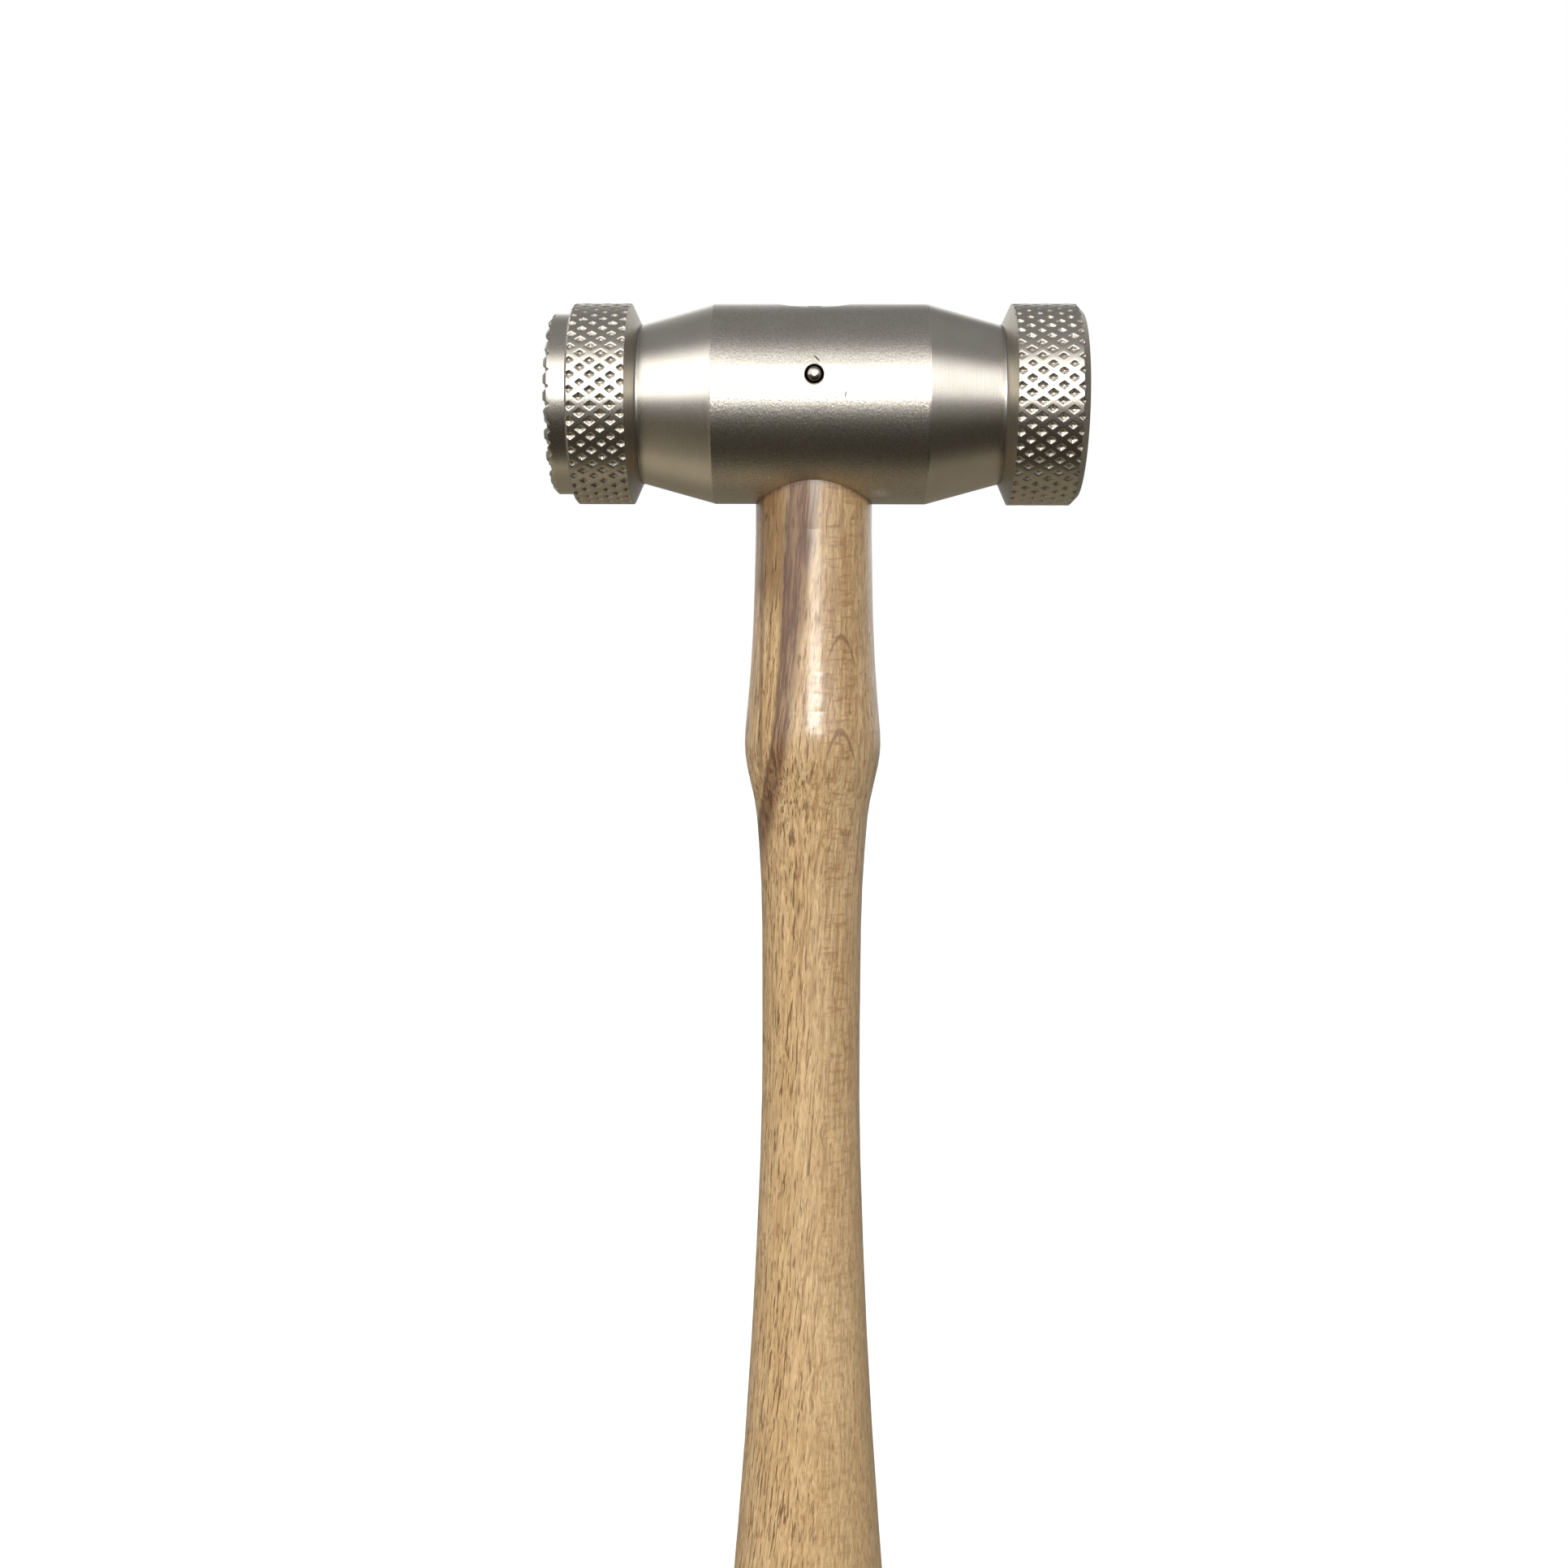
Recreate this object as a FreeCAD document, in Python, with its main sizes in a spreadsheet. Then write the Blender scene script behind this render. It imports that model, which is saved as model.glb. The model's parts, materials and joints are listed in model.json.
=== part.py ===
import FreeCAD, Part
import math
import os
import Sketcher

# A jeweller's texturing hammer with two screw-on faces, in millimetres.
# The hammer stands on its butt: the origin is the centre of the flat butt end, +Z runs up the
# handle to the head, and the head lies along X with the texture face at -X and the plain face at +X.

DOCUMENT_NAME = "texturing_hammer"
SHEET_NAME = "sizes"

# Driving dimensions: alias, value, meaning.
DIMENSIONS = [
    ("head_axis_height", 232.5, "head axis above the butt end"),
    ("barrel_diameter", 24.85, "middle cylinder of the head"),
    ("barrel_length", 44.7, "head from neck to neck"),
    ("cone_length", 9.0, "each tapered end of the head"),
    ("neck_diameter", 19.9, "end face of each taper, where a face seats"),
    ("eye_offset", 0.8, "middle of the head from the handle axis, towards the plain face"),
    ("socket_diameter", 14.8, "lower, wide part of the eye"),
    ("socket_top", 4.0, "shoulder of the eye above the head axis"),
    ("eye_diameter", 10.5, "upper, narrow part of the eye"),
    ("eye_dish", 0.2, "how far the tenon end lies below the head's surface"),
    ("bore_diameter", 10.1, "threaded bore in each end of the head, at its crest"),
    ("bore_depth", 10.0, "full-diameter depth of each bore"),
    ("bore_point", 2.5, "drill point below each bore"),
    ("bore_chamfer", 0.5, "lead-in chamfer at each bore's mouth"),
    ("pin_height", 2.3, "cross pin above the head axis"),
    ("pin_diameter", 2.3, "cross pin and its hole"),
    ("pin_chamfer", 0.06, "broken edge of the pin hole"),
    ("pin_length", 24.6, "cross pin over its domed ends"),
    ("pin_dome", 0.9, "rounding of each pin end"),
    ("wedge_width", 8.4, "steel wedge across the tenon"),
    ("wedge_top", 1.8, "wedge thickness at its upper end"),
    ("wedge_tip", 0.5, "wedge thickness at its lower end"),
    ("wedge_bottom", 5.2, "lower end of the wedge above the head axis"),
    ("washer_thickness", 0.3, "thin washer under each face"),
    ("washer_bore", 10.8, "hole in each washer"),
    ("stud_diameter", 10.0, "threaded stud of each face, over its crests"),
    ("stud_length", 9.4, "stud from the back of a face to its tip"),
    ("stud_chamfer", 0.8, "chamfer at each stud tip"),
    ("cap_diameter", 25.0, "knurled band of each face"),
    ("back_chamfer", 1.2, "axial length of the cone behind each knurled band"),
    ("texture_band", 7.2, "knurled band of the texture face"),
    ("rim_diameter", 22.5, "smooth rim that carries the teeth"),
    ("rim_length", 2.0, "smooth rim between the knurled band and the tooth roots"),
    ("band_chamfer", 0.3, "chamfer at the front of the texture face's band"),
    ("rim_chamfer", 0.5, "chamfer round the tips of the outermost texture teeth"),
    ("tooth_height", 0.8, "height of the texture teeth"),
    ("tooth_pitch", 2.1, "spacing of the texture teeth"),
    ("texture_turn", 10, "turn of the texture face where it comes up tight, in degrees about -X"),
    ("groove_mouth", 1.25, "width of a tooth groove at the tips"),
    ("groove_floor", 0.15, "width of a tooth groove at its floor"),
    ("knurl_pitch", 2.5, "spacing of the knurl pits along a face's axis"),
    ("knurl_start", 0.35, "first ring of pits in front of the band's rear edge"),
    ("pit_length", 1.4, "length of a knurl pit along a face's axis"),
    ("pit_width", 1.04, "width of a knurl pit round a face"),
    ("pit_depth", 0.38, "depth of a knurl pit at its point"),
    ("plain_band", 8.7, "knurled band of the plain face with its edge"),
    ("plain_edge", 0.9, "chamfer round the striking face"),
]

# Control points of the turned handle's outline: distance below the head axis and radius.
# The outline is a smooth curve that starts at the first point, ends at the last and is drawn
# towards the others: a straight neck, a crest, a thin waist, a swelling grip and a round butt.
HANDLE_POINTS = [
    (16.0, 7.4),
    (22.0, 7.5),
    (29.0, 7.7),
    (35.0, 8.1),
    (39.5, 8.5),
    (43.3, 8.9),
    (47.0, 8.3),
    (51.0, 7.2),
    (56.0, 6.9),
    (63.0, 6.4),
    (76.0, 6.4),
    (90.0, 6.3),
    (104.0, 6.8),
    (122.0, 7.6),
    (140.0, 8.8),
    (156.0, 10.1),
    (172.0, 11.4),
    (188.0, 12.3),
    (204.0, 11.9),
    (218.0, 10.9),
    (228.5, 10.1),
    (232.5, 9.3),
    (232.5, 6.5),
]
CURVE_DEGREE = 3

# Knurl pits round each ring of pits.
PITS_ROUND = 42

# Grooves on each side of the texture face's middle groove.
SIDE_GROOVES = 5

# How far a cutting outline reaches past the surface it cuts, and how far the open end of a knurl
# pit's pyramid stands outside the band as a share of the pit's depth.
CLEARANCE = 1
PIT_LIFT = 0.25

# The head's long axis, and the names Sketcher gives to a sketch's own origin and axes.
HEAD_AXIS = FreeCAD.Vector(1, 0, 0)
ORIGIN_POINT = (-1, 1)
HORIZONTAL_AXIS = -1
VERTICAL_AXIS = -2

# A cut has to take away more than this volume.
LEAST_CUT = 1e-6


class Size:
    """A length that knows its number and the sheet expression that gives it."""

    def __init__(self, number, text):
        self.number = number
        self.text = text

    @staticmethod
    def of(value):
        return value if isinstance(value, Size) else Size(float(value), repr(float(value)))

    def joined(self, other, sign, number):
        return Size(number, f"({self.text} {sign} {Size.of(other).text})")

    def __add__(self, other):
        return self.joined(other, "+", self.number + Size.of(other).number)

    def __sub__(self, other):
        return self.joined(other, "-", self.number - Size.of(other).number)

    def __mul__(self, other):
        return self.joined(other, "*", self.number * Size.of(other).number)

    def __truediv__(self, other):
        return self.joined(other, "/", self.number / Size.of(other).number)

    def __neg__(self):
        return Size(-self.number, f"(0 - {self.text})")


def make_sheet(document):
    """Writes the driving dimensions and the handle's control points, and returns the sheet."""
    sheet = document.addObject("Spreadsheet::Sheet", SHEET_NAME)
    rows = list(DIMENSIONS)
    for number, (below, radius) in enumerate(HANDLE_POINTS, 1):
        rows.append((f"point_{number}_below", below, "handle control point below the head axis"))
        rows.append((f"point_{number}_radius", radius, "its distance from the handle axis"))
    for row, (alias, value, meaning) in enumerate(rows, 1):
        sheet.set(f"A{row}", meaning)
        sheet.set(f"B{row}", str(value))
        sheet.setAlias(f"B{row}", alias)
    document.recompute()
    return sheet


def size(document, alias):
    """The Size held by one cell of the sheet."""
    return Size(float(getattr(document.getObject(SHEET_NAME), alias)), f"{SHEET_NAME}.{alias}")


def bind(thing, field, value):
    """Binds a property of a document object to a Size."""
    thing.setExpression(field, Size.of(value).text)


def make_body(document, label):
    body = document.addObject("PartDesign::Body", label)
    body.Label = label
    return body


def place(piece, x, y, z):
    """Binds a sub-part's position."""
    bind(piece, "Placement.Base.x", x)
    bind(piece, "Placement.Base.y", y)
    bind(piece, "Placement.Base.z", z)


def turn_about(piece, alias, axis):
    """Turns a placed sub-part about an axis through its own origin by an angle from the sheet."""
    piece.Placement.Rotation = FreeCAD.Rotation(axis, 1)
    piece.setExpression("Placement.Rotation.Angle", f"{SHEET_NAME}.{alias} * 1 deg")


def origin_feature(body, role):
    return next(item for item in body.Origin.OriginFeatures if item.Role == role)


def make_sketch(body, name, plane, height=None):
    """A sketch on one of the body's origin planes, raised along the plane's normal by height."""
    sketch = body.newObject("Sketcher::SketchObject", name)
    sketch.AttachmentSupport = (origin_feature(body, plane), [""])
    sketch.MapMode = "FlatFace"
    if height is not None:
        bind(sketch, "AttachmentOffset.Base.z", height)
    return sketch


def hold_point(sketch, geometry, vertex, horizontal, vertical):
    """Fixes a sketch point at the given coordinates, each a Size or 0."""
    for kind, value, axis in (
        ("DistanceX", horizontal, VERTICAL_AXIS),
        ("DistanceY", vertical, HORIZONTAL_AXIS),
    ):
        if isinstance(value, Size):
            constraint = Sketcher.Constraint(kind, *ORIGIN_POINT, geometry, vertex, value.number)
            index = sketch.addConstraint(constraint)
            bind(sketch, f"Constraints[{index}]", value)
        else:
            sketch.addConstraint(Sketcher.Constraint("PointOnObject", geometry, vertex, axis))


def draw_outline(sketch, points):
    """A closed outline of straight lines through points, each a pair of Sizes or zeros."""
    corners = [FreeCAD.Vector(Size.of(u).number, Size.of(v).number, 0) for u, v in points]
    count = len(corners)
    for index in range(count):
        sketch.addGeometry(Part.LineSegment(corners[index], corners[(index + 1) % count]))
    for index in range(count):
        sketch.addConstraint(Sketcher.Constraint("Coincident", index, 2, (index + 1) % count, 1))
    for index, (horizontal, vertical) in enumerate(points):
        hold_point(sketch, index, 1, horizontal, vertical)


def draw_circle(sketch, horizontal, vertical, diameter):
    """A circle about a point, each coordinate a Size or 0."""
    centre = FreeCAD.Vector(Size.of(horizontal).number, Size.of(vertical).number, 0)
    circle = sketch.addGeometry(Part.Circle(centre, FreeCAD.Vector(0, 0, 1), diameter.number / 2))
    hold_point(sketch, circle, 3, horizontal, vertical)
    index = sketch.addConstraint(Sketcher.Constraint("Diameter", circle, diameter.number))
    bind(sketch, f"Constraints[{index}]", diameter)


def revolve(body, name, sketch, role):
    """A full turn of the sketch about one of the body's origin axes."""
    feature = body.newObject("PartDesign::Revolution", name)
    feature.Profile = sketch
    feature.ReferenceAxis = (origin_feature(body, role), [""])
    feature.Angle = 360
    body.Tip = feature
    return feature


def pad(body, name, sketch, length, midplane=False):
    feature = body.newObject("PartDesign::Pad", name)
    feature.Profile = sketch
    bind(feature, "Length", length)
    feature.Midplane = midplane
    body.Tip = feature
    return feature


def cut(body, name, sketch, length, midplane=False, reversed_cut=False):
    """A pocket that has to take something away."""
    before = body.Shape.Volume
    feature = body.newObject("PartDesign::Pocket", name)
    feature.Profile = sketch
    bind(feature, "Length", length)
    feature.Midplane = midplane
    feature.Reversed = reversed_cut
    body.Tip = feature
    body.Document.recompute()
    if body.Shape.Volume > before - LEAST_CUT:
        raise RuntimeError(f"{body.Label}: {name} removes nothing")
    return feature


def edge_names(shape, wanted):
    """Names of the shape's edges that the wanted function accepts."""
    return [f"Edge{number}" for number, edge in enumerate(shape.Edges, 1) if wanted(edge)]


def dress(body, kind, name, field, length, wanted):
    """A fillet or chamfer on the edges of the body's tip that the wanted function accepts."""
    body.Document.recompute()
    base = body.Tip
    feature = body.newObject(f"PartDesign::{kind}", name)
    feature.Base = (base, edge_names(base.Shape, wanted))
    bind(feature, field, length)
    body.Tip = feature
    body.Document.recompute()
    return feature


def make_head_barrel(document):
    """Barrel with tapered ends, a threaded bore in each end, a stepped eye and a cross-pin hole.

    Its own origin is the middle of the head, on the head axis.
    """
    def dim(alias):
        return size(document, alias)

    body = make_body(document, "head_barrel")
    half = dim("barrel_length") / 2
    shoulder = half - dim("cone_length")
    floor = half - dim("bore_depth")
    point = floor - dim("bore_point")
    mouth = half - dim("bore_chamfer")
    barrel_radius = dim("barrel_diameter") / 2
    neck_radius = dim("neck_diameter") / 2
    bore_radius = dim("bore_diameter") / 2
    lead_radius = bore_radius + dim("bore_chamfer")
    plain_half = [
        (shoulder, barrel_radius),
        (half, neck_radius),
        (half, lead_radius),
        (mouth, bore_radius),
        (floor, bore_radius),
        (point, 0),
    ]
    texture_half = [(-along, radius) for along, radius in reversed(plain_half)]
    profile = make_sketch(body, "head_profile", "XZ_Plane")
    draw_outline(profile, plain_half + texture_half)
    revolve(body, "head_turning", profile, "X_Axis")
    document.recompute()

    eye_x = -dim("eye_offset")
    eye = make_sketch(body, "eye_outline", "XY_Plane")
    draw_circle(eye, eye_x, 0, dim("eye_diameter"))
    cut(body, "eye_bore", eye, dim("barrel_diameter") + 2 * CLEARANCE, midplane=True)

    socket_depth = dim("socket_top") + barrel_radius + CLEARANCE
    socket = make_sketch(body, "socket_outline", "XY_Plane", dim("socket_top"))
    draw_circle(socket, eye_x, 0, dim("socket_diameter"))
    cut(body, "eye_socket", socket, socket_depth)

    pin_hole = make_sketch(body, "pin_hole_outline", "XZ_Plane")
    draw_circle(pin_hole, eye_x, dim("pin_height"), dim("pin_diameter"))
    cut(body, "pin_hole", pin_hole, dim("barrel_diameter") + 2 * CLEARANCE, midplane=True)

    for side in (-1, 1):
        cut_countersink(document, body, side)
    place(body, dim("eye_offset"), 0, dim("head_axis_height"))
    return body


def chord(radius, offset):
    """Half the width of a circle, measured at a distance from its middle."""
    number = (radius.number**2 - offset.number**2) ** 0.5
    return Size(number, f"sqrt({radius.text} ^ 2 - {offset.text} ^ 2)")


def cut_countersink(document, body, side):
    """A 45 degree countersink at one mouth of the cross-pin hole."""
    mouth_radius = size(document, "pin_diameter") / 2 + size(document, "pin_chamfer")
    surface = chord(size(document, "barrel_diameter") / 2, size(document, "pin_height"))
    name = "rear_countersink" if side > 0 else "front_countersink"
    outline = make_sketch(body, f"{name}_outline", "XY_Plane", size(document, "pin_height"))
    bind(outline, "AttachmentOffset.Base.x", -size(document, "eye_offset"))
    base = surface + CLEARANCE
    reach = mouth_radius + CLEARANCE
    tip = base - reach
    draw_outline(outline, [
        (0, base if side > 0 else -base),
        (reach, base if side > 0 else -base),
        (0, tip if side > 0 else -tip),
    ])
    before = body.Shape.Volume
    groove = body.newObject("PartDesign::Groove", name)
    groove.Profile = outline
    groove.ReferenceAxis = (outline, ["V_Axis"])
    groove.Angle = 360
    body.Tip = groove
    document.recompute()
    if body.Shape.Volume > before - LEAST_CUT:
        raise RuntimeError(f"{name} removes nothing")


def make_handle(document):
    """Turned wooden handle with a stepped tenon, a wedge slot and a cross-pin hole.

    Its own origin is the crossing of the handle axis and the head axis.
    """
    def dim(alias):
        return size(document, alias)

    body = make_body(document, "handle")
    profile = make_sketch(body, "handle_profile", "XZ_Plane")
    draw_handle(document, profile)
    revolve(body, "handle_turning", profile, "Z_Axis")
    document.recompute()
    trim_to_head(document, body)

    slot = make_sketch(body, "wedge_slot_outline", "XZ_Plane")
    draw_outline(slot, wedge_points(document))
    cut(body, "wedge_slot", slot, dim("wedge_width"), midplane=True)

    pin_hole = make_sketch(body, "handle_pin_hole_outline", "XZ_Plane")
    draw_circle(pin_hole, 0, dim("pin_height"), dim("pin_diameter"))
    cut(body, "handle_pin_hole", pin_hole, dim("socket_diameter") + 2 * CLEARANCE, midplane=True)
    place(body, 0, 0, dim("head_axis_height"))
    return body


def draw_handle(document, sketch):
    """Half outline of the handle: the stepped tenon in straight lines, then one smooth curve."""
    def dim(alias):
        return size(document, alias)

    points = [
        (dim(f"point_{number}_radius"), -dim(f"point_{number}_below"))
        for number in range(1, len(HANDLE_POINTS) + 1)
    ]
    top = dim("barrel_diameter") / 2
    tenon_radius = dim("eye_diameter") / 2
    socket_radius = dim("socket_diameter") / 2
    corners = [
        (0, points[-1][1]),
        (0, top),
        (tenon_radius, top),
        (tenon_radius, dim("socket_top")),
        (socket_radius, dim("socket_top")),
    ]
    chain = [points[-1]] + corners + [points[0]]
    places = [FreeCAD.Vector(Size.of(u).number, Size.of(v).number, 0) for u, v in chain]
    lines = [
        sketch.addGeometry(Part.LineSegment(start, end)) for start, end in zip(places, places[1:])
    ]
    for first, second in zip(lines, lines[1:]):
        sketch.addConstraint(Sketcher.Constraint("Coincident", first, 2, second, 1))
    for line, (horizontal, vertical) in zip(lines[1:], corners):
        hold_point(sketch, line, 1, horizontal, vertical)
    curve = Part.BSplineCurve()
    curve.buildFromPoles(
        [FreeCAD.Vector(u.number, v.number, 0) for u, v in points], False, CURVE_DEGREE
    )
    spline = sketch.addGeometry(curve)
    sketch.exposeInternalGeometry(spline)
    for pole, (horizontal, vertical) in enumerate(points):
        hold_point(sketch, spline + 1 + pole, 3, horizontal, vertical)
    sketch.addConstraint(Sketcher.Constraint("Coincident", lines[-1], 2, spline, 1))
    sketch.addConstraint(Sketcher.Constraint("Coincident", lines[0], 1, spline, 2))


def wedge_points(document):
    """Outline of the wedge, seen along Y: thick at the top and thin at the bottom."""
    top = size(document, "barrel_diameter") / 2
    bottom = size(document, "wedge_bottom")
    half_top = size(document, "wedge_top") / 2
    half_tip = size(document, "wedge_tip") / 2
    return [(-half_tip, bottom), (half_tip, bottom), (half_top, top), (-half_top, top)]


def trim_to_head(document, body):
    """Cuts the top of a piece to a cylinder about the head axis, just below the head's surface."""
    arch = make_sketch(body, f"{body.Label}_end_outline", "YZ_Plane")
    draw_arch(
        arch,
        size(document, "socket_diameter") / 2,
        size(document, "barrel_diameter") / 2 - size(document, "eye_dish"),
        size(document, "barrel_diameter"),
    )
    cut(body, f"{body.Label}_end", arch, size(document, "barrel_diameter"), midplane=True)


def draw_arch(sketch, half_width, radius, top):
    """The region above an arc about the sketch's origin, between two uprights and a flat top."""
    foot = (radius.number**2 - half_width.number**2) ** 0.5
    right_foot = FreeCAD.Vector(half_width.number, foot, 0)
    right_top = FreeCAD.Vector(half_width.number, top.number, 0)
    left_top = FreeCAD.Vector(-half_width.number, top.number, 0)
    left_foot = FreeCAD.Vector(-half_width.number, foot, 0)
    right = sketch.addGeometry(Part.LineSegment(right_foot, right_top))
    lid = sketch.addGeometry(Part.LineSegment(right_top, left_top))
    left = sketch.addGeometry(Part.LineSegment(left_top, left_foot))
    crown = FreeCAD.Vector(0, radius.number, 0)
    arc = sketch.addGeometry(Part.Arc(right_foot, crown, left_foot))
    for joint in ((right, 2, lid, 1), (lid, 2, left, 1), (left, 2, arc, 2), (right, 1, arc, 1)):
        sketch.addConstraint(Sketcher.Constraint("Coincident", *joint))
    sketch.addConstraint(Sketcher.Constraint("Coincident", arc, 3, *ORIGIN_POINT))
    sketch.addConstraint(Sketcher.Constraint("Vertical", right))
    sketch.addConstraint(Sketcher.Constraint("Vertical", left))
    hold_point(sketch, lid, 1, half_width, top)
    hold_point(sketch, lid, 2, -half_width, top)
    index = sketch.addConstraint(Sketcher.Constraint("Radius", arc, radius.number))
    bind(sketch, f"Constraints[{index}]", radius)


def make_eye_wedge(document):
    """Steel wedge driven into the tenon, its end ground off with the tenon.

    Its own origin is the crossing of the handle axis and the head axis.
    """
    body = make_body(document, "eye_wedge")
    outline = make_sketch(body, "wedge_outline", "XZ_Plane")
    draw_outline(outline, wedge_points(document))
    pad(body, "wedge_plate", outline, size(document, "wedge_width"), midplane=True)
    document.recompute()
    trim_to_head(document, body)
    place(body, 0, 0, size(document, "head_axis_height"))
    return body


def make_cross_pin(document):
    """Dowel through the head and the tenon, domed at both ends. Its own origin is its middle."""
    body = make_body(document, "cross_pin")
    outline = make_sketch(body, "pin_outline", "XZ_Plane")
    draw_circle(outline, 0, 0, size(document, "pin_diameter"))
    pad(body, "pin_rod", outline, size(document, "pin_length"), midplane=True)
    dress(body, "Fillet", "pin_domes", "Radius", size(document, "pin_dome"), lambda edge: (
        isinstance(edge.Curve, Part.Circle)
    ))
    place(body, 0, 0, size(document, "head_axis_height") + size(document, "pin_height"))
    return body


def make_washer(document, label, side):
    """Thin washer between the head and a face. Its own origin is its face against the head."""
    body = make_body(document, label)
    outline = make_sketch(body, f"{label}_outline", "YZ_Plane")
    draw_circle(outline, 0, 0, size(document, "neck_diameter"))
    draw_circle(outline, 0, 0, size(document, "washer_bore"))
    plate = pad(body, f"{label}_plate", outline, size(document, "washer_thickness"))
    plate.Reversed = side < 0
    place(body, neck_x(document, side), 0, size(document, "head_axis_height"))
    return body


def neck_x(document, side):
    """Place of the head's end face along X, on the plain side (1) or the texture side (-1)."""
    half = size(document, "barrel_length") / 2
    return size(document, "eye_offset") + (half if side > 0 else -half)


def stud_points(document):
    """Outline of the stud and the cone behind the knurled band; along is outward from the washer."""
    stud_radius = size(document, "stud_diameter") / 2
    tip = -size(document, "stud_length")
    chamfer = size(document, "stud_chamfer")
    return [
        (tip, 0),
        (tip, stud_radius - chamfer),
        (tip + chamfer, stud_radius),
        (Size.of(0), stud_radius),
        (Size.of(0), size(document, "neck_diameter") / 2),
        (size(document, "back_chamfer"), size(document, "cap_diameter") / 2),
    ]


def make_blank(document, label, side, front_points):
    """A face before knurling, turned about X: the shared stud and back, then its own front."""
    body = make_body(document, f"{label}_blank")
    profile = make_sketch(body, f"{label}_profile", "XZ_Plane")
    points = stud_points(document) + front_points
    if side < 0:
        points = [(-along, radius) for along, radius in points]
    draw_outline(profile, points)
    revolve(body, f"{label}_turning", profile, "X_Axis")
    document.recompute()
    return body


def make_pit(along, turn, half_length, half_width, radius, depth):
    """A four-sided pyramid that points at the axis from just outside the knurled band."""
    lift = depth * PIT_LIFT
    spread = 1 + PIT_LIFT
    rim = [
        FreeCAD.Vector(along - half_length * spread, 0, radius + lift),
        FreeCAD.Vector(along, half_width * spread, radius + lift),
        FreeCAD.Vector(along + half_length * spread, 0, radius + lift),
        FreeCAD.Vector(along, -half_width * spread, radius + lift),
    ]
    point = FreeCAD.Vector(along, 0, radius - depth)
    sides = [
        Part.Face(Part.makePolygon([start, end, point, start]))
        for start, end in zip(rim, rim[1:] + rim[:1])
    ]
    pit = Part.Solid(Part.Shell([Part.Face(Part.makePolygon(rim + rim[:1]))] + sides))
    pit.rotate(FreeCAD.Vector(0, 0, 0), HEAD_AXIS, turn)
    return pit


def make_knurl(document, label, side, band):
    """Every pit of one face as a single tool: rings half a pitch apart, each staggered to the last.

    The end rings lie so near the band's edges that their pits break through them.
    """
    def number(alias):
        return size(document, alias).number

    ring_step = number("knurl_pitch") / 2
    rings = 1 + round((band.number - number("knurl_start")) / ring_step)
    turn_step = 360 / PITS_ROUND
    first = number("back_chamfer") + number("knurl_start")
    pits = []
    for ring in range(rings):
        for place_round in range(PITS_ROUND):
            pits.append(make_pit(
                side * (first + ring * ring_step),
                (place_round + ring % 2 / 2) * turn_step,
                number("pit_length") / 2,
                number("pit_width") / 2,
                number("cap_diameter") / 2,
                number("pit_depth"),
            ))
    tool = document.addObject("Part::Feature", f"{label}_knurl")
    tool.Shape = Part.makeCompound(pits)
    return tool


def knurl_face(document, label, side, blank, band):
    """The finished face: its blank less the knurl pits, seated on its washer."""
    face = document.addObject("Part::Cut", label)
    face.Label = label
    face.Base = blank
    face.Tool = make_knurl(document, label, side, band)
    seat = neck_x(document, side)
    washer = size(document, "washer_thickness")
    place(face, seat + washer if side > 0 else seat - washer, 0, size(document, "head_axis_height"))
    return face


def make_plain_face(document):
    """The smooth flat face, with a chamfered edge. Its own origin is the middle of its back."""
    cap_radius = size(document, "cap_diameter") / 2
    edge = size(document, "plain_edge")
    front = size(document, "back_chamfer") + size(document, "plain_band")
    blank = make_blank(document, "plain_face", 1, [
        (front - edge, cap_radius),
        (front, cap_radius - edge),
        (front, 0),
    ])
    return knurl_face(document, "plain_face", 1, blank, size(document, "plain_band") - edge)


def make_texture_face(document):
    """The waffle face: a smooth rim whose end is cut into square teeth by crossing grooves."""
    cap_radius = size(document, "cap_diameter") / 2
    rim_radius = size(document, "rim_diameter") / 2
    band_end = size(document, "back_chamfer") + size(document, "texture_band")
    band_chamfer = size(document, "band_chamfer")
    rim_chamfer = size(document, "rim_chamfer")
    roots = band_end + size(document, "rim_length")
    tips = roots + size(document, "tooth_height")
    blank = make_blank(document, "texture_face", -1, [
        (band_end - band_chamfer, cap_radius),
        (band_end, cap_radius - band_chamfer),
        (band_end, rim_radius),
        (tips - rim_chamfer, rim_radius),
        (tips, rim_radius - rim_chamfer),
        (tips, 0),
    ])
    for direction, plane, role in (("upright", "XY_Plane", "Y_Axis"), ("level", "XZ_Plane", "Z_Axis")):
        cut_grooves(document, blank, direction, plane, role, roots, tips)
    face = knurl_face(document, "texture_face", -1, blank, size(document, "texture_band"))
    turn_about(face, "texture_turn", -HEAD_AXIS)
    return face


def cut_grooves(document, body, direction, plane, role, roots, tips):
    """A row of parallel grooves across the teeth, with a tooth and not a groove in the middle."""
    pitch = size(document, "tooth_pitch")
    half_mouth = size(document, "groove_mouth") / 2
    half_floor = size(document, "groove_floor") / 2
    first = -(pitch * (SIDE_GROOVES - 0.5))
    groove = make_sketch(body, f"{direction}_groove_outline", plane)
    draw_outline(groove, [
        (-tips, first - half_mouth),
        (-roots, first - half_floor),
        (-roots, first + half_floor),
        (-tips, first + half_mouth),
    ])
    length = size(document, "cap_diameter")
    pocket = cut(body, f"{direction}_groove", groove, length, midplane=True)
    row = body.newObject("PartDesign::LinearPattern", f"{direction}_grooves")
    row.Originals = [pocket]
    row.Direction = (origin_feature(body, role), [""])
    row.Occurrences = 2 * SIDE_GROOVES
    bind(row, "Length", pitch * (2 * SIDE_GROOVES - 1))
    body.Tip = row
    document.recompute()


def check_document(document):
    """Stops with a plain message if any object failed."""
    for item in document.Objects:
        failed = [state for state in item.State if state in ("Invalid", "Error")]
        if failed:
            raise RuntimeError(f"{item.Label} is {failed}")


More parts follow.
